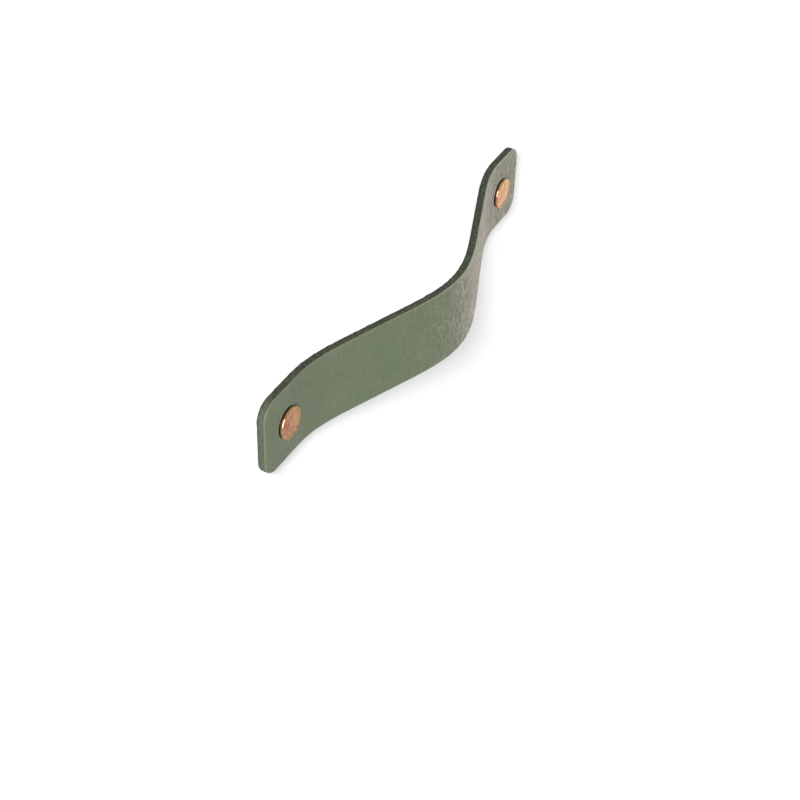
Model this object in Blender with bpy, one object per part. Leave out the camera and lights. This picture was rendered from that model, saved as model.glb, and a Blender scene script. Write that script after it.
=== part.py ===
"""Leather strap pull for a drawer or a cupboard door.

One strap of leather is screwed flat to the drawer front at both ends and arches off it in between, so
that fingers fit behind it. At each end a round cap post goes through the leather from the front, and a
machine screw comes from inside the drawer into the post.

Metres, +Z up. X runs along the strap and Z across its width. The drawer front is the plane y = 0, and
the strap arches towards -Y. The origin lies on the drawer front, midway between the two screws.
"""
import math

import bmesh
import bpy
import numpy as np
from mathutils import Matrix, Vector

# The leather, as it is cut before it is bent.
STRAP_LENGTH = 0.165
STRAP_WIDTH = 0.025
STRAP_THICKNESS = 0.0025
CORNER_RADIUS = 0.0055
ARRIS = 0.0003
HOLE_INSET = 0.0120

# The arch: how far its back stands off the drawer front, and how much tighter its bends are than
# those of a plain sine.
ARCH_RISE = 0.0183
SHOULDER = 0.13

# Where the leather leaves the drawer front, measured along it from the edge of each cap. It lies flat
# a little past the left cap, and lifts under the inner side of the right one.
LIFT_PAST_LEFT_CAP = 0.00055
LIFT_PAST_RIGHT_CAP = -0.00295

# The room between pieces that touch.
CLEARANCE = 0.0003

# The machine screw, size M4, with its thread left as a plain rod of the thread's middle diameter.
SCREW_DIAMETER = 0.0040
THREAD_DEPTH = 0.0004
SCREW_HEAD_DIAMETER = 0.0080
SCREW_HEAD_HEIGHT = 0.0029
SCREW_HEAD_SIDE = 0.0010
SCREW_POINT = 0.0005
RECESS_WIDTH = 0.0044
RECESS_SLOT = 0.0010
RECESS_DEPTH = 0.0019
RECESS_TAPER = 0.45

# The cap post: a round head in front of the leather and a threaded sleeve through it.
CAP_DIAMETER = 0.0100
CAP_HEIGHT = 0.0010
CAP_DOME = 0.0003
CAP_RIM_RADIUS = 0.0005
SLEEVE_WALL = 0.0007
SLEEVE_LENGTH = 0.0070
SLEEVE_EASE = 0.0002
METAL_BEFORE_BORE = 0.0019
DRILL_POINT = 0.0006

# The panel between the leather and the screw's head, which is not part of the pull.
PANEL_THICKNESS = 0.018

# How far a cutter reaches past the piece that it cuts.
CUT_PAST = 0.0050
SLOT_PAST = 0.0002

# How finely round and bent shapes are cut up.
ARCH_SAMPLES = 1441
ARCH_STEPS = 72
CORNER_STEPS = 8
ROUND_SIDES = 56
RIM_STEPS = 6
DOME_STEPS = 4
SMOOTH_BELOW = math.radians(35)

# Sizes that follow from the ones above.
CAP_RADIUS = CAP_DIAMETER / 2
CAP_SEAT = -(STRAP_THICKNESS + CLEARANCE)
CAP_FRONT = CAP_SEAT - CAP_HEIGHT
SHANK_RADIUS = (SCREW_DIAMETER - THREAD_DEPTH) / 2
BORE_RADIUS = SHANK_RADIUS + CLEARANCE
SLEEVE_RADIUS = BORE_RADIUS + SLEEVE_WALL
LEATHER_HOLE_RADIUS = SLEEVE_RADIUS + CLEARANCE
BORE_FLOOR = CAP_FRONT + METAL_BEFORE_BORE
SCREW_TIP = BORE_FLOOR + CLEARANCE
LEFT_LIFT = HOLE_INSET + CAP_RADIUS + LIFT_PAST_LEFT_CAP
RIGHT_LIFT = HOLE_INSET + CAP_RADIUS + LIFT_PAST_RIGHT_CAP
ARCH_LENGTH = STRAP_LENGTH - LEFT_LIFT - RIGHT_LIFT


def clear_scene():
    for thing in list(bpy.data.objects):
        bpy.data.objects.remove(thing, do_unlink=True)


def finish(name, color, roughness, metallic):
    """A plain material in the part's own colour."""
    material = bpy.data.materials.new(name)
    material.use_nodes = True
    shader = material.node_tree.nodes["Principled BSDF"]
    shader.inputs["Base Color"].default_value = (*color, 1)
    shader.inputs["Roughness"].default_value = roughness
    shader.inputs["Metallic"].default_value = metallic
    material.diffuse_color = (*color, 1)
    return material


def add_object(name, bm, material):
    """Turn a bmesh into an object whose faces point out, smooth where it is round."""
    bmesh.ops.recalc_face_normals(bm, faces=bm.faces)
    mesh = bpy.data.meshes.new(name)
    bm.to_mesh(mesh)
    bm.free()
    mesh.shade_smooth()
    mesh.set_sharp_from_angle(angle=SMOOTH_BELOW)
    if material:
        mesh.materials.append(material)
    thing = bpy.data.objects.new(name, mesh)
    bpy.context.collection.objects.link(thing)
    return thing


def cut(target, cutter):
    """Take the cutter's shape out of the target, and keep the cutter only as a guide."""
    cutter.hide_render = True
    cutter.display_type = "WIRE"
    boolean = target.modifiers.new(cutter.name, "BOOLEAN")
    boolean.operation = "DIFFERENCE"
    boolean.solver = "EXACT"
    boolean.object = cutter


def arc(center, radius, start, end, steps):
    """Points of an arc in a plane, its angles in radians."""
    turn = np.linspace(start, end, steps + 1)
    return [(center[0] + radius * math.cos(a), center[1] + radius * math.sin(a)) for a in turn]


def turned(profile):
    """Spin a profile of (radius, y) once round the Y axis. Its first and last points lie on the axis."""
    bm = bmesh.new()
    verts = [bm.verts.new((radius, y, 0)) for radius, y in profile]
    edges = [bm.edges.new(pair) for pair in zip(verts, verts[1:])]
    bmesh.ops.spin(bm, geom=verts + edges, cent=(0, 0, 0), axis=(0, 1, 0), angle=2 * math.pi,
                   steps=ROUND_SIDES, use_merge=True, use_duplicate=False)
    bmesh.ops.remove_doubles(bm, verts=bm.verts, dist=1e-7)
    return bm


def lean_along(share, steepest):
    """Lean of the leather at a share of the arch: up from the left, level at the crest, then down."""
    return steepest * (np.sin(2 * math.pi * share) + SHOULDER * np.sin(6 * math.pi * share))


def running_sum(values, step):
    """Integral of evenly spaced values by the trapezium rule, from nought."""
    return np.concatenate([[0], np.cumsum((values[1:] + values[:-1]) / 2)]) * step


def solve_arch():
    """Find how steeply the leather must lean for its crest to stand ARCH_RISE off the drawer front.

    Gives arrays along the arch: the share of its length, how far it has run, how far it has risen
    and its lean.
    """
    share = np.linspace(0, 1, ARCH_SAMPLES)
    step = ARCH_LENGTH / (ARCH_SAMPLES - 1)
    low, high = 0.0, math.pi / 3
    while high - low > 1e-9:
        middle = (low + high) / 2
        crest = running_sum(np.sin(lean_along(share, middle)), step).max()
        if crest < ARCH_RISE:
            low = middle
        else:
            high = middle
    lean = lean_along(share, low)
    return share, running_sum(np.cos(lean), step), running_sum(np.sin(lean), step), lean


def hole_spacing(arch):
    """Distance between the two holes once the leather is bent."""
    share, run, rise, lean = arch
    return float(run[-1]) + LEFT_LIFT + RIGHT_LIFT - 2 * HOLE_INSET


def bend(arch, point):
    """Bend a point of the flat strap, given from its left end, its middle line and its middle surface."""
    share, run, rise, lean = arch
    along, across, out = point
    past_lift = along - LEFT_LIFT
    here = past_lift / ARCH_LENGTH
    flat_run = min(past_lift, 0) + max(past_lift - ARCH_LENGTH, 0)
    x = LEFT_LIFT - HOLE_INSET - hole_spacing(arch) / 2 + flat_run + np.interp(here, share, run)
    stand = STRAP_THICKNESS / 2 + np.interp(here, share, rise)
    tilt = np.interp(here, share, lean)
    return Vector((x - out * math.sin(tilt), -stand - out * math.cos(tilt), across))


def strap_outline():
    """The cut outline of the flat strap: a rectangle with round corners, from its left end."""
    near, far = CORNER_RADIUS, STRAP_LENGTH - CORNER_RADIUS
    high = STRAP_WIDTH / 2 - CORNER_RADIUS
    quarter = math.pi / 2
    corners = [((near, -high), 2), ((far, -high), 3), ((far, high), 0), ((near, high), 1)]
    points = []
    for center, turn in corners:
        points += arc(center, CORNER_RADIUS, turn * quarter, (turn + 1) * quarter, CORNER_STEPS)
    return points


def make_strap(arch, material):
    """Cut the strap flat, ease its edges, and bend it over the arch."""
    bm = bmesh.new()
    half = STRAP_THICKNESS / 2
    face = bm.faces.new([bm.verts.new((along, across, half)) for along, across in strap_outline()])
    extruded = bmesh.ops.extrude_face_region(bm, geom=[face])
    other_side = [item for item in extruded["geom"] if isinstance(item, bmesh.types.BMVert)]
    bmesh.ops.translate(bm, verts=other_side, vec=(0, 0, -STRAP_THICKNESS))
    rims = [edge for edge in bm.edges if edge.verts[0].co.z == edge.verts[1].co.z]
    bmesh.ops.bevel(bm, geom=rims, offset=ARRIS, segments=1, profile=0.5, affect="EDGES")
    for along in np.linspace(LEFT_LIFT, LEFT_LIFT + ARCH_LENGTH, ARCH_STEPS + 1):
        everything = bm.verts[:] + bm.edges[:] + bm.faces[:]
        bmesh.ops.bisect_plane(bm, geom=everything, plane_co=(along, 0, 0), plane_no=(1, 0, 0), dist=1e-7)
    for vert in bm.verts:
        vert.co = bend(arch, vert.co)
    return add_object("strap", bm, material)


def make_hole_punch(name, x):
    """A rod that punches the leather for one sleeve."""
    bm = bmesh.new()
    lie = Matrix.Translation((x, -STRAP_THICKNESS / 2, 0)) @ Matrix.Rotation(math.pi / 2, 4, "X")
    bmesh.ops.create_cone(bm, cap_ends=True, segments=ROUND_SIDES, radius1=LEATHER_HOLE_RADIUS,
                          radius2=LEATHER_HOLE_RADIUS, depth=STRAP_THICKNESS + 2 * CUT_PAST, matrix=lie)
    return add_object(name, bm, None)


def make_cap_post(name, x, material):
    """A turned cap: domed head with a round rim, and a sleeve drilled from its open end."""
    rim_radius = min(CAP_RIM_RADIUS, CAP_HEIGHT - CAP_DOME)
    flat = CAP_RADIUS - rim_radius
    rim = arc((flat, CAP_FRONT + CAP_DOME + rim_radius), rim_radius, 0, -math.pi / 2, RIM_STEPS)
    dome = [(flat * share, CAP_FRONT + CAP_DOME * share**2) for share in np.linspace(1, 0, DOME_STEPS + 1)]
    end = CAP_SEAT + SLEEVE_LENGTH
    sleeve = [
        (0, BORE_FLOOR - DRILL_POINT),
        (BORE_RADIUS, BORE_FLOOR),
        (BORE_RADIUS, end - SLEEVE_EASE),
        (BORE_RADIUS + SLEEVE_EASE, end),
        (SLEEVE_RADIUS - SLEEVE_EASE, end),
        (SLEEVE_RADIUS, end - SLEEVE_EASE),
        (SLEEVE_RADIUS, CAP_SEAT),
        (CAP_RADIUS, CAP_SEAT),
    ]
    post = add_object(name, turned(sleeve + rim + dome[1:]), material)
    post.location.x = x
    return post


def make_recess_cutter(name, x):
    """The cross in the screw's head: a plus shape that narrows towards its floor."""
    reach, slot = RECESS_WIDTH / 2, RECESS_SLOT / 2
    arm = [(reach, -slot), (reach, slot), (slot, slot)]
    plus = [(a * math.cos(t) - b * math.sin(t), a * math.sin(t) + b * math.cos(t))
            for t in (0, math.pi / 2, math.pi, 3 * math.pi / 2) for a, b in arm]
    top = PANEL_THICKNESS + SCREW_HEAD_HEIGHT
    bm = bmesh.new()
    outer = [bm.verts.new((a, top + SLOT_PAST, b)) for a, b in plus]
    inner = [bm.verts.new((a * RECESS_TAPER, top - RECESS_DEPTH, b * RECESS_TAPER)) for a, b in plus]
    bm.faces.new(outer)
    bm.faces.new(inner)
    for k in range(len(plus)):
        bm.faces.new((outer[k], outer[k - 1], inner[k - 1], inner[k]))
    cutter = add_object(name, bm, None)
    cutter.location.x = x
    return cutter


def make_screw(name, x, material):
    """A pan-head machine screw from behind the panel, its shank reaching into the post."""
    head = SCREW_HEAD_DIAMETER / 2
    shoulder = PANEL_THICKNESS + SCREW_HEAD_SIDE
    crown = SCREW_HEAD_HEIGHT - SCREW_HEAD_SIDE
    shank = [
        (0, SCREW_TIP),
        (SHANK_RADIUS - SCREW_POINT, SCREW_TIP),
        (SHANK_RADIUS, SCREW_TIP + SCREW_POINT),
        (SHANK_RADIUS, PANEL_THICKNESS),
        (head, PANEL_THICKNESS),
    ]
    round_top = arc((0, 0), 1, 0, math.pi / 2, RIM_STEPS)
    dome = [(head * across, shoulder + crown * up) for across, up in round_top]
    screw = add_object(name, turned(shank + dome), material)
    screw.location.x = x
    return screw


def build():
    clear_scene()
    leather = finish("sage_leather", (0.174, 0.216, 0.138), 0.55, 0.0)
    copper = finish("copper", (0.72, 0.36, 0.22), 0.3, 1.0)
    zinc = finish("zinc_plated_steel", (0.6, 0.61, 0.62), 0.35, 1.0)
    arch = solve_arch()
    strap = make_strap(arch, leather)
    for side, x in (("left", -hole_spacing(arch) / 2), ("right", hole_spacing(arch) / 2)):
        cut(strap, make_hole_punch(f"hole_punch_{side}", x))
        make_cap_post(f"cap_post_{side}", x, copper)
        cut(make_screw(f"machine_screw_{side}", x, zinc), make_recess_cutter(f"recess_cutter_{side}", x))


build()
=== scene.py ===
"""Looks of the leather strap pull: its leather, caps and screws, and the wall, floor and lamps round it.

Metres, +Z up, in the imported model's own frame. X runs along the strap and Z across its width. The
drawer front is the plane y = 0, and the strap arches off it towards -Y.
"""
import math

import bpy
import numpy as np
from mathutils import Matrix, Vector


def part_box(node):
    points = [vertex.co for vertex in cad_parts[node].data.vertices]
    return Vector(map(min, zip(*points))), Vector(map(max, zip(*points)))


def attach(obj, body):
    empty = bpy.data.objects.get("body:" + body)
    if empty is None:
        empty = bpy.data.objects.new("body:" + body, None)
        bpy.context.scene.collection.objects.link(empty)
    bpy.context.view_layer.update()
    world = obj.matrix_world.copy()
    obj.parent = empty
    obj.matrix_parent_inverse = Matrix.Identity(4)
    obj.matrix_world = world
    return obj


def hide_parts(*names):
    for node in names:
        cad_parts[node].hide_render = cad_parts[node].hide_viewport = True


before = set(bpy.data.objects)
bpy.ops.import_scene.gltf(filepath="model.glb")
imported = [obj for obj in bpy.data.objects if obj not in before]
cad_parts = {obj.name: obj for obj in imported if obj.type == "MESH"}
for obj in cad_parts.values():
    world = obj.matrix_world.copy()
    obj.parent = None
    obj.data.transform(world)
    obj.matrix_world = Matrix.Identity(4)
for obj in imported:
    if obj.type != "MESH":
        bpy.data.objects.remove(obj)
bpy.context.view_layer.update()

MILLIMETRE = 0.001
BOTH_SIDES = ("left", "right")
STRAP_LOW, STRAP_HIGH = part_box("strap")
CAP_BOX = {side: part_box(f"cap_post_{side}") for side in BOTH_SIDES}
SCREW_BOX = {side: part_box(f"machine_screw_{side}") for side in BOTH_SIDES}

# The leather, as it is cut before it is bent.
STRAP_LENGTH = 0.165
STRAP_THICKNESS = 0.0025
STRAP_WIDTH = STRAP_HIGH.z - STRAP_LOW.z
CORNER_RADIUS = 0.0055
ARRIS = 0.00030
HALF_THICKNESS = STRAP_THICKNESS / 2

# The arch, by the same law as the solid's, and the slight twist that the leather takes on over it.
SHOULDER = 0.13
ARCH_RISE = -STRAP_LOW.y - STRAP_THICKNESS
LIFT_PAST_LEFT_CAP = 0.00055
LIFT_PAST_RIGHT_CAP = -0.00295
TWIST = math.radians(-2.78)
STEEPEST_POSSIBLE = math.pi / 3
LEAN_TOLERANCE = 1e-9
ARCH_SAMPLES = 1441

# Where the leather is creased most, measured along it, and how far the creases reach on either side.
CREASE_MIDDLE = 0.097
CREASE_REACH_LEFT = 0.019
CREASE_REACH_RIGHT = 0.023

# The strap's mesh: points of the grain side, of a corner's arc, and steps down the rim.
GRID_ALONG = 1001
GRID_ACROSS = 61
CORNER_POINTS = 24
ARRIS_STEPS = 4
WALL_STEPS = 5
FINE_RIM_ROWS = ARRIS_STEPS + WALL_STEPS - 2

# The caps and the screws, as the solids give them.
CAP_X = {side: (low.x + high.x) / 2 for side, (low, high) in CAP_BOX.items()}
CAP_RADIUS = (CAP_BOX["left"][1].z - CAP_BOX["left"][0].z) / 2
CAP_FRONT = CAP_BOX["left"][0].y
SLEEVE_END = CAP_BOX["left"][1].y
HOLE_RADIUS = 0.0031
SLEEVE_RADIUS = 0.0028
BORE_RADIUS = 0.0021
BORE_FLOOR = CAP_FRONT + 0.0019
SCREW_TIP = SCREW_BOX["left"][0].y
SCREW_TOP = SCREW_BOX["left"][1].y
HEAD_RADIUS = (SCREW_BOX["left"][1].z - SCREW_BOX["left"][0].z) / 2
HEAD_HEIGHT = 0.0029
HEAD_SEAT = SCREW_TOP - HEAD_HEIGHT
THREAD_PITCH = 0.0007
THREAD_CREST = 0.00197
THREAD_ROOT = 0.00158
BORE_THREAD_HEIGHT = 0.00028

# How finely the round pieces are divided: sides of each, and rows to a pitch of a thread.
CAP_SIDES = 144
SCREW_SIDES = 96
HOLE_SIDES = 96
RECESS_SIDES = 160
THREAD_ROWS = 10

# The cap's rolled rim, the shallow groove inside it, and the low dome in the middle.
CAP_SEAT = -STRAP_THICKNESS + 0.00006
RIM_ROUND = 0.00045
BACK_ROUND = 0.00018
RIM_FRONT = CAP_FRONT + 0.00003
GROOVE_WIDTH = 0.00065
DOME_HEIGHT = 0.00020

LEFT_LIFT = CAP_X["left"] - STRAP_LOW.x + CAP_RADIUS + LIFT_PAST_LEFT_CAP
RIGHT_LIFT = STRAP_HIGH.x - CAP_X["right"] + CAP_RADIUS + LIFT_PAST_RIGHT_CAP
ARCH_LENGTH = STRAP_LENGTH - LEFT_LIFT - RIGHT_LIFT

# The wall stands just behind the leather, so that the shadow on it is a soft one close to the strap. The
# sleeves and the screws pass through it. The floor lies far below.
WALL_BEHIND = 0.0040
FLOOR_LEVEL = -0.45
PAPER_REACH = 3.0

# How bright the white surroundings are for the camera, in the metal, and as light on the leather.
FLOOR_WHITE = 0.98
MIRRORED = 0.56
SKY_LIGHT = 0.38

# The lamp beside the camera that throws the soft shadow on the wall. The wall gets WASH_SHARE of white
# over the distance from it, and gives the rest itself, up to WALL_WHITE.
WASH_PLACE = (-0.463, -0.194, 0.385)
WASH_POWER = 426.0
WASH_WIDTH = 0.075
WASH_SHARE = 0.2086
WALL_WHITE = 0.985

# The camera, fitted to the outline of the strap in the photograph: how far it is swung from +Y towards
# +X, tipped down and rolled, how far back, right and up it stands from the origin, and its lens.
CAMERA_SWING = math.radians(63.19)
CAMERA_TIP = math.radians(39.49)
CAMERA_ROLL = math.radians(2.103)
CAMERA_DISTANCE = 0.5054
CAMERA_ASIDE = 0.00222
CAMERA_ABOVE = -0.03193
PICTURE_WIDTH = 800
FOCAL_PIXELS = 1671.6
SENSOR_WIDTH = 36.0

# How many random values a table of noise has along each side, before it repeats.
NOISE_TABLE = 256


def color(red, green, blue):
    return (red, green, blue, 1.0)


WHITE = color(1.0, 1.0, 1.0)


# Arithmetic


def smoothstep(low, high, value):
    """Nought below low, one above high, and an eased cubic in between."""
    t = np.clip((value - low) / (high - low), 0, 1)
    return t * t * (3 - 2 * t)


def lattice_noise(a, b, seed):
    """Smooth noise from -1 to 1: random values on whole-number points of the plane, eased in between."""
    table = np.random.default_rng(seed).uniform(-1, 1, (NOISE_TABLE, NOISE_TABLE))
    cell_a, cell_b = np.floor(a).astype(int), np.floor(b).astype(int)
    ease_a, ease_b = smoothstep(0, 1, a - cell_a), smoothstep(0, 1, b - cell_b)

    def corner(step_a, step_b):
        return table[(cell_a + step_a) % NOISE_TABLE, (cell_b + step_b) % NOISE_TABLE]

    low = corner(0, 0) * (1 - ease_a) + corner(1, 0) * ease_a
    high = corner(0, 1) * (1 - ease_a) + corner(1, 1) * ease_a
    return low * (1 - ease_b) + high * ease_b


def cell_walls(a, b, seed):
    """Distance from the walls between irregular cells about one unit across.

    Each unit square holds one random point. The value is the distance to the second nearest point less
    the distance to the nearest one, which is nought on a wall between two cells.
    """
    jitter = np.random.default_rng(seed).uniform(0.05, 0.95, (NOISE_TABLE, NOISE_TABLE, 2))
    cell_a, cell_b = np.floor(a).astype(int), np.floor(b).astype(int)
    nearest = np.full(np.shape(a), np.inf)
    second = np.full(np.shape(a), np.inf)
    for step_a in (-1, 0, 1):
        for step_b in (-1, 0, 1):
            point = jitter[(cell_a + step_a) % NOISE_TABLE, (cell_b + step_b) % NOISE_TABLE]
            away = np.hypot(cell_a + step_a + point[..., 0] - a, cell_b + step_b + point[..., 1] - b)
            second = np.minimum(second, np.maximum(nearest, away))
            nearest = np.minimum(nearest, away)
    return second - nearest


def running_sum(values, step):
    """Integral of evenly spaced values by the trapezium rule, from nought."""
    return np.concatenate([[0], np.cumsum((values[1:] + values[:-1]) / 2)]) * step


def even_turn(sides):
    """So many even angles round a full turn."""
    return np.arange(sides) * (2 * np.pi / sides)


def arc_points(center, radius, start, end, steps):
    """Radii and depths of an arc in the plane of a turned profile."""
    turn = np.linspace(start, end, steps)
    return center[0] + radius * np.cos(turn), center[1] + radius * np.sin(turn)


# Meshes


def new_piece(name, points, faces, materials, node=None):
    """Make a mesh object. With a node named, it rides on the frame and stands for that node."""
    mesh = bpy.data.meshes.new(name)
    mesh.from_pydata(points.tolist(), [], [face for block in faces for face in block.tolist()])
    mesh.shade_smooth()
    for material in materials:
        mesh.materials.append(material)
    piece = bpy.data.objects.new(name, mesh)
    bpy.context.collection.objects.link(piece)
    if node:
        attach(piece, "root")
        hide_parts(node)
    return piece


def around_axis(name, radius, depth, x, materials, node=None):
    """A closed surface round the line through (x, 0) along Y, its radius given row by row and side by side.

    A point is (x + radius * cos(turn), depth, radius * sin(turn)). The first and last rows close on
    points of the axis. Faces point out where the last row lies nearer to -Y than the first, and are
    turned round where it doesn't.
    """
    rows, sides = radius.shape
    turn = even_turn(sides)
    depth = np.broadcast_to(depth, radius.shape)
    rings = np.stack([x + radius * np.cos(turn), depth, radius * np.sin(turn)], axis=-1).reshape(-1, 3)
    poles = np.array([[x, depth[0].mean(), 0], [x, depth[-1].mean(), 0]])
    here = np.arange(sides)
    after = np.roll(here, -1)
    step = np.arange(rows - 1)[:, None] * sides
    walls = np.stack([step + here, step + after, step + sides + after, step + sides + here], axis=-1)
    pole = np.full(sides, rows * sides)
    last = (rows - 1) * sides
    first_fan = np.stack([pole, after, here], axis=1)
    last_fan = np.stack([pole + 1, last + here, last + after], axis=1)
    piece = new_piece(name, np.concatenate([rings, poles]), [walls.reshape(-1, 4), first_fan, last_fan],
                      materials, node)
    if depth[-1].mean() > depth[0].mean():
        piece.data.flip_normals()
    return piece


def take_out(target, cutters):
    """Cut the cutters' shapes out of the target for good, and remove them."""
    for cutter in cutters:
        boolean = target.modifiers.new(cutter.name, "BOOLEAN")
        boolean.operation = "DIFFERENCE"
        boolean.solver = "EXACT"
        boolean.object = cutter
    evaluated = target.evaluated_get(bpy.context.evaluated_depsgraph_get())
    uncut = target.data
    target.data = bpy.data.meshes.new_from_object(evaluated)
    target.data.name = uncut.name
    target.modifiers.clear()
    bpy.data.meshes.remove(uncut)
    for cutter in cutters:
        bpy.data.objects.remove(cutter, do_unlink=True)


def add_attribute(mesh, name, kind, field, values):
    """Store one value for each point of a mesh."""
    attribute = mesh.attributes.new(name, kind, "POINT")
    attribute.data.foreach_set(field, np.ascontiguousarray(values, dtype=np.float32).ravel())


def read_vectors(data, field):
    """The vectors that a mesh holds for its points, as rows of an array."""
    values = np.empty(len(data) * 3)
    data.foreach_get(field, values)
    return values.reshape(-1, 3)


# Materials


class Nodes:
    """Short ways to add nodes to a node tree. A socket is fed with a value or with another socket."""

    def __init__(self, tree):
        self.tree = tree

    def feed(self, socket, value):
        if isinstance(value, bpy.types.NodeSocket):
            self.tree.links.new(value, socket)
        else:
            socket.default_value = value

    def node(self, kind, inputs=None, **settings):
        node = self.tree.nodes.new(kind)
        for setting, value in settings.items():
            setattr(node, setting, value)
        for socket, value in (inputs or {}).items():
            self.feed(node.inputs[socket], value)
        return node

    def math(self, operation, first, second, **settings):
        inputs = {0: first, 1: second}
        return self.node("ShaderNodeMath", inputs, operation=operation, **settings).outputs["Value"]

    def vector(self, operation, inputs, output="Vector"):
        return self.node("ShaderNodeVectorMath", inputs, operation=operation).outputs[output]

    def fit(self, value, low, high, to_low, to_high):
        """The value's range from low to high, stretched to another range."""
        inputs = {"Value": value, "From Min": low, "From Max": high, "To Min": to_low, "To Max": to_high}
        return self.node("ShaderNodeMapRange", inputs).outputs["Result"]

    def object_place(self):
        return self.node("ShaderNodeTexCoord").outputs["Object"]

    def axis(self, place, name):
        """One coordinate of a place."""
        return self.node("ShaderNodeSeparateXYZ", {"Vector": place}).outputs[name]


class Finish(Nodes):
    """A material with one shader, whose nodes make its colours, gloss and relief."""

    def __init__(self, name, **sockets):
        self.material = bpy.data.materials.new(name)
        self.material.use_nodes = True
        super().__init__(self.material.node_tree)
        self.shader = self.tree.nodes["Principled BSDF"]
        for socket, value in sockets.items():
            self.shader.inputs[socket.replace("_", " ")].default_value = value

    def drive(self, socket, value):
        self.feed(self.shader.inputs[socket], value)

    def attribute(self, name, output="Fac"):
        return self.node("ShaderNodeAttribute", attribute_name=name).outputs[output]

    def noise(self, place, per_metre, detail=3.0, roughness=0.55, distortion=0.0):
        """Noise of about per_metre blobs a metre."""
        inputs = {"Vector": place, "Scale": per_metre, "Detail": detail, "Roughness": roughness,
                  "Distortion": distortion}
        return self.node("ShaderNodeTexNoise", inputs).outputs["Fac"]

    def cells(self, place, per_metre, feature):
        """Distance inside irregular cells, of per_metre cells a metre."""
        inputs = {"Vector": place, "Scale": per_metre}
        return self.node("ShaderNodeTexVoronoi", inputs, feature=feature).outputs["Distance"]

    def mix(self, share, first, second):
        """A colour between two others."""
        inputs = {0: share, 6: first, 7: second}
        return self.node("ShaderNodeMix", inputs, data_type="RGBA").outputs[2]

    def stretch(self, place, scale):
        return self.node("ShaderNodeMapping", {"Vector": place, "Scale": scale}).outputs["Vector"]

    def line_net(self, place, cell, shift, width):
        """Thin lines between cells of this size along and across, on places shifted by noise.

        The noise has a blob for every 2.4 cells. The net is one on a line, and nought from width cells
        away.
        """
        inputs = {"Vector": place, "Scale": 1 / (2.4 * cell[0]), "Detail": 2.0}
        noise = self.node("ShaderNodeTexNoise", inputs).outputs["Color"]
        offset = self.vector("ADD", {0: noise, 1: (-0.5, -0.5, -0.5)})
        offset = self.vector("SCALE", {0: offset, "Scale": 2 * shift})
        moved = self.vector("ADD", {0: place, 1: offset})
        cells = self.stretch(moved, (1 / cell[0], 1 / cell[1], 0.0))
        return self.fit(self.cells(cells, 1.0, "DISTANCE_TO_EDGE"), 0.0, width, 1, 0)

    def bump(self, height, distance, strength=1.0, before=None):
        inputs = {"Height": height, "Distance": distance, "Strength": strength}
        if before:
            inputs["Normal"] = before
        return self.node("ShaderNodeBump", inputs).outputs["Normal"]


def grain_finish():
    """The coated grain side: pebbled grain, coarser to the right, and a net of pale lines where it creases.

    Both nets of lines are walls of cells drawn out across the strap, on places shifted by noise. The
    point attribute "fold" says how strong they are, and another says where the rounded rim gets a painted
    highlight.
    """
    finish = Finish("sage_grain", Specular_IOR_Level=0.7, Sheen_Weight=0.08, Sheen_Roughness=0.35,
                    Sheen_Tint=color(1.0, 0.78, 0.80))
    place = finish.attribute("flat_place", "Vector")
    patches = finish.noise(place, 90, detail=4.0, roughness=0.6)
    flecks = finish.noise(place, 900, detail=3.0, roughness=0.65)
    wide = finish.line_net(place, (0.0019, 0.0058), 0.0012, 0.065)
    small = finish.line_net(place, (0.0009, 0.0020), 0.0006, 0.11)
    lines = finish.math("MAXIMUM", wide, finish.math("MULTIPLY", small, 0.40))
    lines = finish.math("MULTIPLY", lines, finish.attribute("fold"))
    tone = finish.mix(finish.fit(patches, 0.35, 0.65, 0, 1), color(0.079, 0.115, 0.055),
                      color(0.098, 0.122, 0.064))
    tone = finish.mix(finish.fit(flecks, 0.30, 0.70, 0, 0.55), tone, color(0.120, 0.148, 0.092))
    # The crease lines are made paler partly as coating stretched pale and partly as painted highlight of
    # crease walls catching light.
    tone = finish.mix(lines, tone, color(0.36, 0.37, 0.25))
    # Painted highlight: the rounded rim is made paler, most from mid strap to the right.
    tone = finish.mix(finish.attribute("rim_highlight"), tone, color(0.46, 0.47, 0.37))
    finish.drive("Base Color", tone)

    wrinkles = finish.noise(finish.stretch(place, (1.0, 0.45, 1.0)), 1100, detail=2.0, roughness=0.5)
    finish.drive("Roughness", finish.fit(wrinkles, 0.35, 0.65, 0.34, 0.60))
    fine = finish.noise(place, 2300, detail=4.0, roughness=0.65)
    relief = finish.bump(fine, 0.00011, 1.0)
    relief = finish.bump(finish.cells(place, 1300, "SMOOTH_F1"), 0.00016, 0.9, relief)
    coarser = finish.fit(finish.axis(place, "X"), 0.085, 0.125, 1.0, 2.6)
    relief = finish.bump(finish.math("MULTIPLY", wrinkles, coarser), 0.00022, 0.9, relief)
    finish.drive("Normal", finish.bump(lines, 0.00018, 1.0, relief))
    return finish.material


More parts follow.
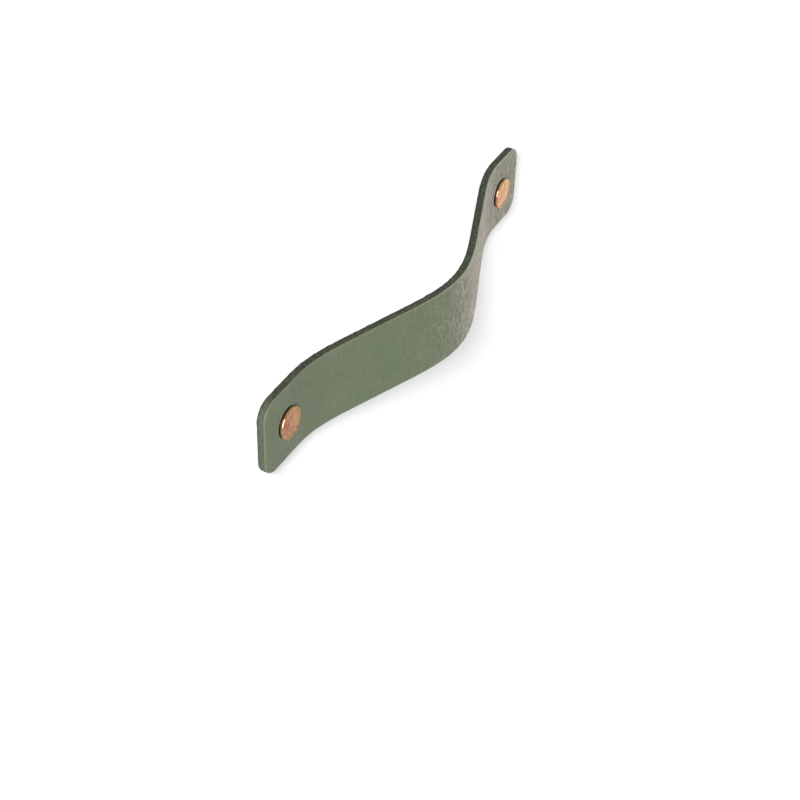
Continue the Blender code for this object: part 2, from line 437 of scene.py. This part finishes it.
def edge_finish():
    """The cut edge: dyed through but raw, darker than the face, with short fibres across it.

    It is paler round the left end, as painted light where the lamp falls on that end, and darker towards
    the flesh side.
    """
    finish = Finish("cut_edge", Specular_IOR_Level=0.2)
    place = finish.attribute("flat_place", "Vector")
    strands = finish.noise(finish.stretch(place, (1.0, 1.0, 0.5)), 3000, detail=4.0, roughness=0.7,
                           distortion=0.6)
    clumps = finish.noise(place, 900, detail=3.0, roughness=0.6)
    tufts = finish.noise(place, 1500, detail=2.0)
    lit_left_end = finish.fit(finish.axis(place, "X"), 0.002, 0.007, 0.45, 0)
    darker_to_flesh_side = finish.fit(finish.axis(place, "Z"), -0.3 * HALF_THICKNESS, -HALF_THICKNESS, 0, 0.6)
    tone = finish.mix(finish.fit(strands, 0.41, 0.60, 0, 1), color(0.046, 0.055, 0.035),
                      color(0.152, 0.174, 0.116))
    tone = finish.mix(finish.fit(clumps, 0.44, 0.60, 0, 0.65), tone, color(0.052, 0.064, 0.040))
    tone = finish.mix(finish.fit(tufts, 0.56, 0.66, 0, 0.6), tone, color(0.19, 0.20, 0.14))
    # Painted light: the edge is made paler round the left end, which faces the lamp.
    tone = finish.mix(lit_left_end, tone, color(0.165, 0.185, 0.125))
    # The edge is made darker towards the flesh side.
    tone = finish.mix(darker_to_flesh_side, tone, color(0.034, 0.036, 0.024))
    finish.drive("Base Color", tone)
    finish.drive("Roughness", finish.fit(strands, 0.3, 0.7, 0.95, 0.75))
    finish.drive("Normal", finish.bump(strands, 0.00025, 1.0))
    return finish.material


def flesh_finish():
    """The flesh side: soft dull nap with loose fibres lying about."""
    finish = Finish("flesh_side", Specular_IOR_Level=0.15, Sheen_Weight=0.35, Sheen_Roughness=0.5,
                    Sheen_Tint=color(0.85, 0.95, 0.75))
    place = finish.attribute("flat_place", "Vector")
    fibres = finish.noise(place, 1500, detail=5.0, roughness=0.75, distortion=1.5)
    brushed = finish.noise(finish.stretch(place, (0.35, 1.0, 1.0)), 260, detail=3.0)
    tone = finish.mix(finish.fit(fibres, 0.35, 0.65, 0, 1), color(0.072, 0.088, 0.055),
                      color(0.150, 0.170, 0.115))
    tone = finish.mix(finish.fit(brushed, 0.4, 0.65, 0, 0.45), tone, color(0.105, 0.125, 0.082))
    finish.drive("Base Color", tone)
    finish.drive("Roughness", finish.fit(fibres, 0.3, 0.7, 0.98, 0.86))
    finish.drive("Normal", finish.bump(fibres, 0.00016, 0.8))
    return finish.material


def copper_finish():
    """Satin copper plate, here golden and there pink, and darkened low on the side by the leather as
    painted contact shade.
    """
    finish = Finish("satin_copper", Metallic=1.0)
    place = finish.object_place()
    dents = finish.noise(place, 300, detail=1.5)
    cloud = finish.noise(place, 620, detail=3.0, distortion=0.8)
    warmth = finish.noise(place, 380, detail=2.0, distortion=0.5)
    contact_shade = finish.fit(finish.axis(place, "Y"), CAP_FRONT + 0.00045, CAP_FRONT + 0.00095, 0, 0.92)
    tone = finish.mix(finish.fit(cloud, 0.41, 0.59, 0, 1), color(0.58, 0.23, 0.10),
                      color(0.84, 0.45, 0.26))
    tone = finish.mix(finish.fit(warmth, 0.50, 0.66, 0, 0.55), tone, color(0.78, 0.50, 0.21))
    tone = finish.mix(finish.fit(warmth, 0.48, 0.34, 0, 0.45), tone, color(0.80, 0.38, 0.28))
    # Painted shade: the cap's side is darkened near the leather, where its contact shadow falls.
    tone = finish.mix(contact_shade, tone, color(0.060, 0.026, 0.012))
    finish.drive("Base Color", tone)
    finish.drive("Roughness", finish.fit(cloud, 0.35, 0.7, 0.20, 0.34))
    finish.drive("Normal", finish.bump(dents, 0.00030, 0.5))
    return finish.material


def zinc_finish():
    """Bright zinc plate on the screws, a little cloudy."""
    finish = Finish("zinc_plate", Metallic=1.0)
    cloud = finish.noise(finish.object_place(), 500, detail=4.0)
    tone = finish.mix(finish.fit(cloud, 0.35, 0.65, 0, 1), color(0.55, 0.56, 0.57),
                      color(0.70, 0.70, 0.68))
    finish.drive("Base Color", tone)
    finish.drive("Roughness", finish.fit(cloud, 0.3, 0.7, 0.24, 0.40))
    finish.drive("Normal", finish.bump(cloud, 0.00003, 0.5))
    return finish.material


# The bend of the strap


def solve_arch():
    """Arrays along the arch: share of its length, run, rise and lean.

    The lean is steepest * (sin(2 pi share) + SHOULDER * sin(6 pi share)), and run and rise are the
    integrals of its cosine and sine. The steepest lean is halved into until the crest stands ARCH_RISE
    off the drawer front.
    """
    share = np.linspace(0, 1, ARCH_SAMPLES)
    shape = np.sin(2 * np.pi * share) + SHOULDER * np.sin(6 * np.pi * share)
    step = ARCH_LENGTH / (ARCH_SAMPLES - 1)
    low, high = 0.0, STEEPEST_POSSIBLE
    while high - low > LEAN_TOLERANCE:
        middle = (low + high) / 2
        if running_sum(np.sin(middle * shape), step).max() < ARCH_RISE:
            low = middle
        else:
            high = middle
    lean = low * shape
    return share, running_sum(np.cos(lean), step), running_sum(np.sin(lean), step), lean


ARCH = solve_arch()


def bend(along, across, out):
    """Places in space of points of the flat strap, as an array of (x, y, z).

    A point is given by its distance along the strap, across from the middle line, and out from the
    middle surface. It is carried to the arch's run and rise, its out direction leans with the arch, and
    the whole section turns about the middle line by TWIST times the squared sine of its share.
    """
    share, run, rise, lean = ARCH
    past_lift = along - LEFT_LIFT
    here = np.clip(past_lift / ARCH_LENGTH, 0, 1)
    flat_run = np.minimum(past_lift, 0) + np.maximum(past_lift - ARCH_LENGTH, 0)
    tilt = np.interp(here, share, lean)
    turn = TWIST * np.sin(np.pi * here) ** 2
    x = STRAP_LOW.x + LEFT_LIFT + flat_run + np.interp(here, share, run) - out * np.sin(tilt)
    towards = -out * np.cos(tilt)
    stand = HALF_THICKNESS + np.interp(here, share, rise)
    y = -stand + towards * np.cos(turn) - across * np.sin(turn)
    z = towards * np.sin(turn) + across * np.cos(turn)
    return np.stack(np.broadcast_arrays(x, y, z), axis=-1)


def hole_along(x):
    """How far along the flat strap the hole at this x lies."""
    return x - STRAP_LOW.x if x < 0 else STRAP_LENGTH - (STRAP_HIGH.x - x)


# The strap's surfaces, in flat measures


def near_crease(along):
    """One at the bend that is creased most, falling off by a bell curve on each side of it."""
    reach = np.where(along < CREASE_MIDDLE, CREASE_REACH_LEFT, CREASE_REACH_RIGHT)
    return np.exp(-(((along - CREASE_MIDDLE) / reach) ** 2))


def along_stations():
    """Distances along the strap at which the face has a row: close in the round corners and at the bend.

    In a corner the rows lie at even angles of its arc. In between, their density is one plus a bell
    curve round the creased bend.
    """
    samples, extra_at_bend = 4001, 0.8
    inner = CORNER_RADIUS - ARRIS
    corner = CORNER_RADIUS - inner * np.cos(np.linspace(0, np.pi / 2, CORNER_POINTS))
    fine = np.linspace(CORNER_RADIUS, STRAP_LENGTH - CORNER_RADIUS, samples)
    count = running_sum(1 + extra_at_bend * near_crease(fine), 1.0)
    middle = np.interp(np.linspace(0, count[-1], GRID_ALONG - 2 * CORNER_POINTS + 2), count, fine)
    return np.concatenate([corner, middle[1:-1], STRAP_LENGTH - corner[::-1]])


def half_width(along):
    """Half the width of the face inside its arris, narrowed in the corners by a quarter circle."""
    into_corner = np.maximum(CORNER_RADIUS - np.minimum(along, STRAP_LENGTH - along), 0)
    inner = CORNER_RADIUS - ARRIS
    return STRAP_WIDTH / 2 - CORNER_RADIUS + np.sqrt(np.maximum(inner**2 - into_corner**2, 0))


def crease_lines(along, across):
    """Strength from 0 to 1 of the deeper creases, and of all folding round them.

    Creases are walls of cells drawn out across the strap, 2.1 by 4.2 mm, bent by noise. They are
    strongest at the bend past the crest and fade to a trace elsewhere.
    """
    a, b = along / MILLIMETRE, across / MILLIMETRE
    sway = 0.7 * lattice_noise(a / 3.1, b / 3.7, 11)
    bent_a = a + sway + 0.25 * lattice_noise(a / 0.9, b / 0.9, 12)
    walls = cell_walls(bent_a / 2.1, b / 4.2 + 0.15 * sway, 21)
    near_bend = near_crease(along)
    patchy = 0.70 + 0.45 * lattice_noise(a / 5.5, b / 6.5, 13)
    lines = (1 - smoothstep(0.02, 0.20, walls)) * near_bend * patchy
    return np.clip(lines, 0, 1), np.clip((near_bend + 0.10) * patchy, 0, 1)


def cap_press(along, across):
    """How the leather yields to the caps: a shallow seat under each cap and a low swell round it."""
    seat_depth, swell_height = 0.00008, 0.00006
    total = 0
    for x in CAP_X.values():
        away = np.hypot(along - hole_along(x), across) / CAP_RADIUS
        seat = -seat_depth * (1 - smoothstep(0.93, 1.06, away))
        swell = swell_height * np.exp(-(((away - 1.22) / 0.14) ** 2))
        total = total + seat + swell
    return total


def face_relief(along, across):
    """Height of the grain side over the plain surface, and how much it is folded there.

    Low waves some 8 mm long and finer ones of 2 to 3 mm, less the creases, plus the caps' press.
    """
    wave_height, ripple_height, crease_depth = 0.00004, 0.000012, 0.00008
    lines, fold = crease_lines(along, across)
    a, b = along / MILLIMETRE, across / MILLIMETRE
    waves = lattice_noise(a / 7, b / 9, 31) * wave_height
    waves = waves + lattice_noise(a / 2.4, b / 3.0, 32) * ripple_height
    return waves - crease_depth * lines + cap_press(along, across), fold


def flesh_points(along, across):
    """The flesh side: a short nap on low waves, just inside the plain surface."""
    nap_height, wave_height, inside = 0.00004, 0.00005, 0.00005
    nap = lattice_noise(along / 0.0011, across / 0.0011, 51) * nap_height
    nap = nap + lattice_noise(along / 0.006, across / 0.008, 52) * wave_height
    return np.stack([along, across, -HALF_THICKNESS + nap + inside], axis=-1).reshape(-1, 3)


def strap_rim_profile():
    """Across the edge, from the face to the flesh side: how far out sideways, and how far out forwards.

    A quarter circle of radius ARRIS, the straight cut, and another quarter circle.
    """
    turn = np.linspace(0, np.pi / 2, ARRIS_STEPS + 1)
    side = np.concatenate([ARRIS * np.sin(turn), np.full(WALL_STEPS - 1, ARRIS), ARRIS * np.cos(turn)])
    cut = HALF_THICKNESS - ARRIS
    front = cut + ARRIS * np.cos(turn)
    wall = np.linspace(cut, -cut, WALL_STEPS + 1)[1:-1]
    return side, np.concatenate([front, wall, -cut - ARRIS * np.sin(turn)])


def ragged_cut(count, depth):
    """How far the cut edge stands out, for so many points round the rim, at shares of the depth.

    Fine and coarse noise, and tufts of fibre towards the flesh side, all nought at the grain side. The
    sizes along the rim are in millimetres.
    """
    fine_height, coarse_height, tuft_height = 0.00003, 0.00005, 0.00016
    walk = np.arange(count) * (2 * (STRAP_LENGTH + STRAP_WIDTH) / count) / MILLIMETRE
    fine = lattice_noise(walk / 0.45, depth * 5, 41) * fine_height
    coarse = lattice_noise(walk / 1.9, depth * 1.5, 42) * coarse_height * smoothstep(0.2, 1.0, depth)
    tufts = smoothstep(0.25, 0.85, lattice_noise(walk / 0.7, depth * 2, 43))
    tufts = tufts * tuft_height * smoothstep(0.45, 0.95, depth)
    return (fine + coarse + tufts) * smoothstep(0.0, 0.25, depth)


def edge_band(face, rim, relief):
    """Rows of points round the edge, from just past the grain side to just before the flesh side.

    A point of the rim goes out along the rim's own normal by the profile's side and the raggedness of
    the cut, and lies at the profile's height. The normal points away from the nearest point of the
    strap's core, which is the strap less CORNER_RADIUS all round. The face's relief fades out down the
    edge.
    """
    rim_along, rim_across = face[rim, 0], face[rim, 1]
    core_along = np.clip(rim_along, CORNER_RADIUS, STRAP_LENGTH - CORNER_RADIUS)
    core_half = STRAP_WIDTH / 2 - CORNER_RADIUS
    core_across = np.clip(rim_across, -core_half, core_half)
    normal = np.stack([rim_along - core_along, rim_across - core_across]) / (CORNER_RADIUS - ARRIS)
    side, height = strap_rim_profile()
    side, height = side[1:-1, None], height[1:-1, None]
    depth = (HALF_THICKNESS - height) / STRAP_THICKNESS
    out = side + ragged_cut(len(rim), depth)
    level = height + relief.ravel()[rim] * (1 - smoothstep(0, 0.3, depth))
    return np.stack([rim_along + normal[0] * out, rim_across + normal[1] * out, level], axis=-1)


def painted_rim_highlight(count, loops, along):
    """Share of painted highlight on each point: on the rounded rim's loops, more from mid strap to the
    right.

    The first loop, the face's own rim, has half of it.
    """
    highlight_share = np.zeros(count)
    highlight_strength = 0.15 + 0.60 * smoothstep(0.06, 0.10, along)
    highlight_share[loops[0]] = 0.5 * highlight_strength
    for loop in loops[1:]:
        highlight_share[loop] = highlight_strength
    return highlight_share


# The strap's mesh


def grid_numbers(shape, start):
    """Point numbers of a grid, row by row from start."""
    return start + np.arange(shape[0] * shape[1]).reshape(shape)


def grid_faces(numbers):
    """Four-cornered faces of a grid of point numbers."""
    return np.stack([numbers[:-1, :-1], numbers[1:, :-1], numbers[1:, 1:], numbers[:-1, 1:]],
                    axis=-1).reshape(-1, 4)


def rim_of(grid):
    """The numbers round the rim of a grid of point numbers, each once, starting along its first column."""
    return np.concatenate([grid[:, 0], grid[-1, 1:], grid[-2::-1, -1], grid[0, -2:0:-1]])


def between(front_loop, back_loop):
    """Four-cornered faces between two loops of as many points."""
    return np.stack([front_loop, back_loop, np.roll(back_loop, -1), np.roll(front_loop, -1)], axis=1)


def halving(fine_loop, coarse_loop):
    """Three-cornered faces between a loop and one of half as many points."""
    odd, even_after = fine_loop[1::2], np.roll(fine_loop, -1)[1::2]
    coarse_after = np.roll(coarse_loop, -1)
    return np.concatenate([
        np.stack([fine_loop[::2], coarse_loop, odd], axis=1),
        np.stack([odd, coarse_loop, coarse_after], axis=1),
        np.stack([odd, coarse_after, even_after], axis=1),
    ])


def make_strap(grain, edge, flesh):
    """The whole strap as one closed surface in flat measures, bent at the end.

    The grain side is a grid along by across, the flesh side is one with half as many rows and columns,
    and the edge is rows of points round the rim. The lower rows have every second point only.
    """
    along = along_stations()[:, None]
    across = np.linspace(-1, 1, GRID_ACROSS)[None, :] * half_width(along)
    along = np.broadcast_to(along, across.shape)
    relief, fold = face_relief(along, across)
    face = np.stack([along, across, HALF_THICKNESS + relief], axis=-1).reshape(-1, 3)
    face_numbers = grid_numbers(along.shape, 0)
    rim = rim_of(face_numbers)
    band = edge_band(face, rim, relief)
    band_fine, band_coarse = band[:FINE_RIM_ROWS], band[FINE_RIM_ROWS:, ::2]
    back_along, back_across = along[::2, ::2], across[::2, ::2]
    back = flesh_points(back_along, back_across)
    flat = np.concatenate([face, band_fine.reshape(-1, 3), band_coarse.reshape(-1, 3), back])

    fine_start = len(face)
    coarse_start = fine_start + band_fine.size // 3
    back_numbers = grid_numbers(back_along.shape, coarse_start + band_coarse.size // 3)
    fine_loops = [rim, *grid_numbers(band_fine.shape[:2], fine_start)]
    coarse_loops = [*grid_numbers(band_coarse.shape[:2], coarse_start), rim_of(back_numbers)]
    face_block, back_block = grid_faces(face_numbers), grid_faces(back_numbers)[:, ::-1]
    edge_blocks = [between(a, b) for a, b in zip(fine_loops, fine_loops[1:])]
    edge_blocks += [between(a, b) for a, b in zip(coarse_loops, coarse_loops[1:])]
    edge_blocks.append(halving(fine_loops[-1], coarse_loops[0]))
    strap = new_piece("leather_strap", bend(*flat.T), [face_block, back_block, *edge_blocks],
                      (grain, flesh, edge), "strap")

    arris_total = ARRIS_STEPS * len(rim)
    edge_total = sum(len(block) for block in edge_blocks)
    finish_index = np.repeat([0, 1, 0, 2], [len(face_block), len(back_block), arris_total,
                                            edge_total - arris_total])
    strap.data.polygons.foreach_set("material_index", finish_index.astype(np.int32))
    beyond_face = np.zeros(len(flat) - len(face))
    # How much painted highlight each point of the rounded rim gets.
    highlight_share = painted_rim_highlight(len(flat), fine_loops[:ARRIS_STEPS], face[rim, 0])
    add_attribute(strap.data, "flat_place", "FLOAT_VECTOR", "vector", flat)
    add_attribute(strap.data, "fold", "FLOAT", "value", np.concatenate([fold.ravel(), beyond_face]))
    add_attribute(strap.data, "rim_highlight", "FLOAT", "value", highlight_share)
    punch_holes(strap, edge)
    return strap


def punch_holes(strap, edge):
    """Punch the two holes, and give the new points beside them their place in the flat strap."""
    in_front, behind, slack = -0.006, 0.004, 0.0001
    radius = np.full((2, HOLE_SIDES), HOLE_RADIUS)
    depths = np.array([in_front, behind])[:, None]
    take_out(strap, [around_axis(f"hole_punch_{side}", radius, depths, x, [edge])
                     for side, x in CAP_X.items()])
    places = strap.data.attributes["flat_place"].data
    points, flat = read_vectors(strap.data.vertices, "co"), read_vectors(places, "vector")
    for x in CAP_X.values():
        beside = np.hypot(points[:, 0] - x, points[:, 2]) < HOLE_RADIUS + slack
        flat[beside, 0] = points[beside, 0] - x + hole_along(x)
        flat[beside, 1] = points[beside, 2]
        flat[beside, 2] = -points[beside, 1] - HALF_THICKNESS
    places.foreach_set("vector", flat.astype(np.float32).ravel())


# Caps and screws


def thread_radius(depth, turn, root, crest):
    """Radius of a screw thread: a ridge with sloping flanks and a flat crest that climbs a pitch a turn.

    The ridge's height is 1.25 less 2.6 times the distance from its middle in pitches, held between
    nought and one.
    """
    phase = (depth / THREAD_PITCH + turn / (2 * np.pi)) % 1.0
    ridge = np.clip(1.25 - np.abs(phase - 0.5) * 2.6, 0, 1)
    return root + (crest - root) * ridge


def make_cap_post(side, copper):
    """The cap post as one closed surface: threaded bore, sleeve, seat, rolled rim, groove and low dome.

    It starts at the bottom of the bore, comes out of the sleeve, turns back along its outside, and ends
    at the middle of the dome.
    """
    turn = even_turn(CAP_SIDES)
    ease, seat_ease = 0.0002, 0.0001
    bore_depth = np.arange(BORE_FLOOR, SLEEVE_END - ease, THREAD_PITCH / THREAD_ROWS)[:, None]
    bore = thread_radius(bore_depth, turn, BORE_RADIUS, BORE_RADIUS + BORE_THREAD_HEIGHT)
    corners = [(BORE_RADIUS + ease, SLEEVE_END), (SLEEVE_RADIUS - ease, SLEEVE_END),
               (SLEEVE_RADIUS - ease / 3, SLEEVE_END - ease / 3), (SLEEVE_RADIUS, SLEEVE_END - ease),
               (SLEEVE_RADIUS, CAP_SEAT + seat_ease), (SLEEVE_RADIUS + seat_ease, CAP_SEAT)]
    back = arc_points((CAP_RADIUS - BACK_ROUND, CAP_SEAT - BACK_ROUND), BACK_ROUND, math.pi / 2, 0, 7)
    front = arc_points((CAP_RADIUS - RIM_ROUND, RIM_FRONT + RIM_ROUND), RIM_ROUND, 0, -math.pi / 2, 16)
    into_groove = np.linspace(0, 1, 13)[1:]
    groove_floor = CAP_FRONT + DOME_HEIGHT
    inner = (CAP_RADIUS - RIM_ROUND - GROOVE_WIDTH * into_groove,
             RIM_FRONT + (groove_floor - RIM_FRONT) * (1 - np.cos(np.pi * into_groove)) / 2)
    share = np.linspace(1, 0.02, 26)[1:]
    crown = (inner[0][-1] * share, CAP_FRONT + DOME_HEIGHT * share**2)
    profile = np.concatenate([np.transpose(corners), back, front, inner, crown], axis=1)
    radius = np.concatenate([bore, np.broadcast_to(profile[0][:, None], (profile.shape[1], len(turn)))])
    depth = np.concatenate([bore_depth[:, 0], profile[1]])[:, None]
    cap = around_axis(f"copper_cap_{side}", radius, depth, CAP_X[side], [copper], f"cap_post_{side}")
    # A cap throws no light back on the leather, which would show as a hard orange gleam beside it.
    cap.visible_diffuse = False
    cap.visible_glossy = False
    return cap


def make_screw(side, zinc):
    """The machine screw: threaded shank with an eased tip, and a pan head with a cross recess."""
    turn = even_turn(SCREW_SIDES)
    runout, tip_share = 0.0008, 0.82
    tip_start, tip_end = SCREW_TIP - 0.0002, SCREW_TIP + 0.0006
    shank_depth = np.arange(SCREW_TIP, HEAD_SEAT, THREAD_PITCH / THREAD_ROWS)[:, None]
    thread = thread_radius(shank_depth, turn, THREAD_ROOT, THREAD_CREST)
    plain = np.full_like(thread, (THREAD_ROOT + THREAD_CREST) / 2)
    near_head = smoothstep(HEAD_SEAT - runout, HEAD_SEAT, shank_depth)
    past_tip = smoothstep(tip_start, tip_end, shank_depth)
    shank = (thread * (1 - near_head) + plain * near_head) * (tip_share + (1 - tip_share) * past_tip)

    ease, side_height, fullness = 0.00018, 0.0010, 0.85
    under = arc_points((HEAD_RADIUS - ease, HEAD_SEAT + ease), ease, -math.pi / 2, 0, 6)
    crown_turn = np.linspace(0, math.pi / 2 - 0.02, 22)
    crown = (HEAD_RADIUS * np.cos(crown_turn) ** fullness,
             HEAD_SEAT + side_height + (HEAD_HEIGHT - side_height) * np.sin(crown_turn))
    profile = np.concatenate([[[THREAD_CREST], [HEAD_SEAT]], under, crown], axis=1)
    radius = np.concatenate([shank, np.broadcast_to(profile[0][:, None], (profile.shape[1], len(turn)))])
    depth = np.concatenate([shank_depth[:, 0], profile[1]])[:, None]
    screw = around_axis(f"zinc_screw_{side}", radius, depth, CAP_X[side], [zinc], f"machine_screw_{side}")
    take_out(screw, [make_recess(side, zinc)])
    screw.data.set_sharp_from_angle(angle=math.radians(40))
    return screw


def make_recess(side, zinc):
    """The cross in the head: the wider reach of two crossed slots in each direction.

    It starts above the head's top, narrows with depth, and closes in a blunt point.
    """
    turn = even_turn(RECESS_SIDES)
    nearly_nought = 1e-6
    sine, cosine = np.abs(np.sin(turn)) + nearly_nought, np.abs(np.cos(turn)) + nearly_nought
    below_top = np.array([-0.0004, 0.0008, 0.0016, 0.0019])[:, None]
    shrink = np.array([1.0, 0.86, 0.68, 0.35])[:, None]
    depth = SCREW_TOP - below_top
    reach, half_slot = 0.0022 * shrink, 0.00048 * shrink
    level = np.minimum(reach / cosine, half_slot / sine)
    upright = np.minimum(half_slot / cosine, reach / sine)
    return around_axis(f"recess_{side}", np.maximum(level, upright), depth, CAP_X[side], [zinc])


# Wall, floor and sky


def level_by_ray(nodes, seen, spread):
    """One level for rays from the camera, MIRRORED off metal or through glass, and spread for the rest."""
    path = nodes.node("ShaderNodeLightPath").outputs
    mirror = nodes.math("MAXIMUM", path["Is Glossy Ray"], path["Is Transmission Ray"])
    return nodes.fit(path["Is Camera Ray"], 0, 1, nodes.fit(mirror, 0, 1, spread, MIRRORED), seen)


def rest_of_white(nodes):
    """What the wall has to give by itself, so that it and the wash make white together.

    The wash falls on it as WASH_SHARE over the distance from the lamp.
    """
    away = nodes.vector("DISTANCE", {0: nodes.object_place(), 1: WASH_PLACE}, "Value")
    washed = nodes.math("DIVIDE", WASH_SHARE, away)
    return nodes.math("SUBTRACT", WALL_WHITE, washed, use_clamp=True)


def paper_finish(name, own_light):
    """White paper that takes shadows. It shows as white.

    Seen from behind it isn't there, and it keeps no light from the back of the strap. With no light of
    its own given, it gives what the wash leaves of white.
    """
    material = bpy.data.materials.new(name)
    material.use_nodes = True
    material.node_tree.nodes.clear()
    nodes = Nodes(material.node_tree)
    seen = own_light or rest_of_white(nodes)
    matt = nodes.node("ShaderNodeBsdfDiffuse", {"Color": color(0.10, 0.10, 0.10)})
    glow = nodes.node("ShaderNodeEmission", {"Color": WHITE, "Strength": level_by_ray(nodes, seen, 0.0)})
    lit = nodes.node("ShaderNodeAddShader", {0: matt.outputs[0], 1: glow.outputs[0]})
    clear = nodes.node("ShaderNodeBsdfTransparent")
    path = nodes.node("ShaderNodeLightPath").outputs
    passing = nodes.node("ShaderNodeNewGeometry").outputs["Backfacing"]
    for ray in ("Is Diffuse Ray", "Is Shadow Ray"):
        passing = nodes.math("MAXIMUM", passing, path[ray])
    one_sided = nodes.node("ShaderNodeMixShader", {0: passing, 1: lit.outputs[0], 2: clear.outputs[0]})
    nodes.node("ShaderNodeOutputMaterial", {"Surface": one_sided.outputs[0]})
    return material


def sheet_of_paper(name, corners, own_light=None):
    """One flat sheet, its corners given anticlockwise as seen from its front."""
    sheet = new_piece(name, np.array(corners), [np.array([[0, 1, 2, 3]])], [paper_finish(name, own_light)])
    return sheet


def stand_paper():
    """The wall behind the strap, which is returned, and the floor far below it."""
    far, wall, floor = PAPER_REACH, WALL_BEHIND, FLOOR_LEVEL
    upright = sheet_of_paper("wall", [(-far, wall, floor), (far, wall, floor), (far, wall, far),
                                      (-far, wall, far)])
    sheet_of_paper("floor", [(-far, -far, floor), (far, -far, floor), (far, far, floor),
                             (-far, far, floor)], FLOOR_WHITE)
    return upright


def light_world():
    """An even pale sky, which shows as white."""
    world = bpy.data.worlds.new("pale_sky")
    bpy.context.scene.world = world
    world.use_nodes = True
    nodes = Nodes(world.node_tree)
    sky = world.node_tree.nodes["Background"]
    nodes.feed(sky.inputs["Color"], WHITE)
    nodes.feed(sky.inputs["Strength"], level_by_ray(nodes, 1.0, SKY_LIGHT))


# Lamps and camera


def lamp_for(lamp, pieces):
    """Let a lamp light only these pieces."""
    group = bpy.data.collections.new(f"{lamp.name}_lights")
    for piece in pieces:
        group.objects.link(piece)
    lamp.light_linking.receiver_collection = group


def wash_wall(wall):
    """A round lamp beside the camera, for the wall alone, that is as strong far away as close by."""
    lamp = bpy.data.lights.new("wall_wash", "POINT")
    lamp.energy = WASH_POWER
    lamp.shadow_soft_size = WASH_WIDTH / 2
    lamp.use_nodes = True
    nodes = Nodes(lamp.node_tree)
    falloff = nodes.node("ShaderNodeLightFalloff", {"Strength": 1.0})
    nodes.feed(lamp.node_tree.nodes["Emission"].inputs["Strength"], falloff.outputs["Constant"])
    thing = bpy.data.objects.new("wall_wash", lamp)
    thing.location = WASH_PLACE
    bpy.context.collection.objects.link(thing)
    lamp_for(thing, [wall])


def softbox(name, direction, distance, width, power, tint=(1.0, 1.0, 1.0)):
    """A square lamp that looks at the middle of the strap from a direction."""
    lamp = bpy.data.lights.new(name, "AREA")
    lamp.shape = "SQUARE"
    lamp.size = width
    lamp.energy = power
    lamp.color = tint
    thing = bpy.data.objects.new(name, lamp)
    towards = Vector(direction).normalized()
    thing.location = towards * distance
    thing.rotation_mode = "QUATERNION"
    thing.rotation_quaternion = towards.to_track_quat("Z", "Y")
    bpy.context.collection.objects.link(thing)
    return thing


def light_pull(strap, caps, screws):
    """A key lamp from the left, one behind for the back, and two small ones for the right half.

    The two small ones stand in one place beside the right cap. A pink one gives the leather its sheen
    where it turns away, and a weak one shows in the caps.
    """
    key = softbox("key", (-0.76, -0.60, 0.22), distance=1.2, width=0.8, power=17.0)
    lamp_for(key, [strap, *caps, *screws])
    softbox("behind", (0.15, 1.0, 0.10), distance=1.2, width=1.0, power=9.0)
    for name, power, tint, pieces in (("far_side", 0.122, (1.0, 0.78, 0.74), [strap]),
                                      ("cap_side", 0.034, (1.0, 1.0, 1.0), caps)):
        card = softbox(name, (0.78, -0.31, -0.54), distance=0.22, width=0.16, power=power, tint=tint)
        card.location.x += CAP_X["right"]
        card.visible_diffuse = False
        lamp_for(card, pieces)


def place_camera():
    """The photograph's viewpoint."""
    sine, cosine = math.sin(CAMERA_SWING), math.cos(CAMERA_SWING)
    forward = Vector((sine * math.cos(CAMERA_TIP), cosine * math.cos(CAMERA_TIP), -math.sin(CAMERA_TIP)))
    level = Vector((cosine, -sine, 0))
    upright = level.cross(forward)
    right = level * math.cos(CAMERA_ROLL) + upright * math.sin(CAMERA_ROLL)
    up = upright * math.cos(CAMERA_ROLL) - level * math.sin(CAMERA_ROLL)
    place = level * CAMERA_ASIDE + upright * CAMERA_ABOVE - forward * CAMERA_DISTANCE
    camera_data = bpy.data.cameras.new("camera")
    camera_data.sensor_width = SENSOR_WIDTH
    camera_data.lens = FOCAL_PIXELS * SENSOR_WIDTH / PICTURE_WIDTH
    camera_data.clip_start = 0.01
    camera_data.clip_end = 20
    camera = bpy.data.objects.new("camera", camera_data)
    turned = Matrix((right, up, -forward)).transposed()
    camera.matrix_world = Matrix.Translation(place) @ turned.to_4x4()
    bpy.context.collection.objects.link(camera)
    bpy.context.scene.camera = camera


def main():
    strap = make_strap(grain_finish(), edge_finish(), flesh_finish())
    copper, zinc = copper_finish(), zinc_finish()
    caps = [make_cap_post(side, copper) for side in BOTH_SIDES]
    screws = [make_screw(side, zinc) for side in BOTH_SIDES]
    wall = stand_paper()
    light_world()
    wash_wall(wall)
    light_pull(strap, caps, screws)
    place_camera()
    bpy.context.scene.view_settings.view_transform = "Standard"


main()
